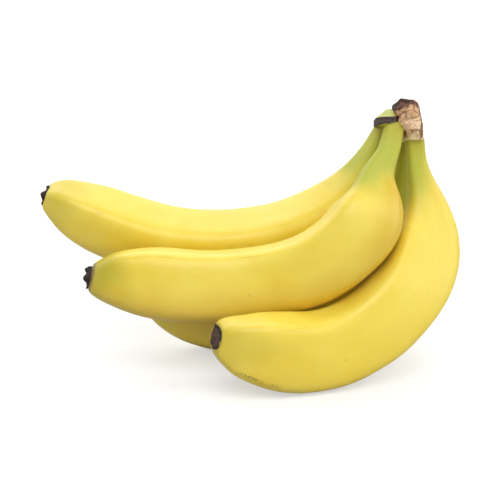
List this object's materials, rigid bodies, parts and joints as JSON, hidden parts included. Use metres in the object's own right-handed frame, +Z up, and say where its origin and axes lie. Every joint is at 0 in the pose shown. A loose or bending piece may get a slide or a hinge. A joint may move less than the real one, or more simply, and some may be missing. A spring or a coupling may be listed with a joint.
{
  "type": "bunch of bananas",
  "caption": "Bunch of curved ridged bananas joined at a cut crown, lying on the bellies of the lower fruit, with dark dried blossom ends.",
  "frame": {"origin": "centre of the footprint of the bounding box, on the surface that the bunch lies on", "axes": "+Z up; +X along the bunch towards the crown; -Y towards the viewer of the picture, where the front banana is"},
  "size_m": [0.2186, 0.109, 0.1352],
  "materials": {
    "peel": "satin",
    "crown": "matte",
    "blossom_end": "matte"
  },
  "bodies": {
    "root": {"crown": "crown", "banana_back": "peel", "banana_middle": "peel", "banana_front": "peel", "banana_under": "peel", "blossom_end_back": "blossom_end", "blossom_end_middle": "blossom_end", "blossom_end_front": "blossom_end", "blossom_end_under": "blossom_end"}
  },
  "joints": []
}
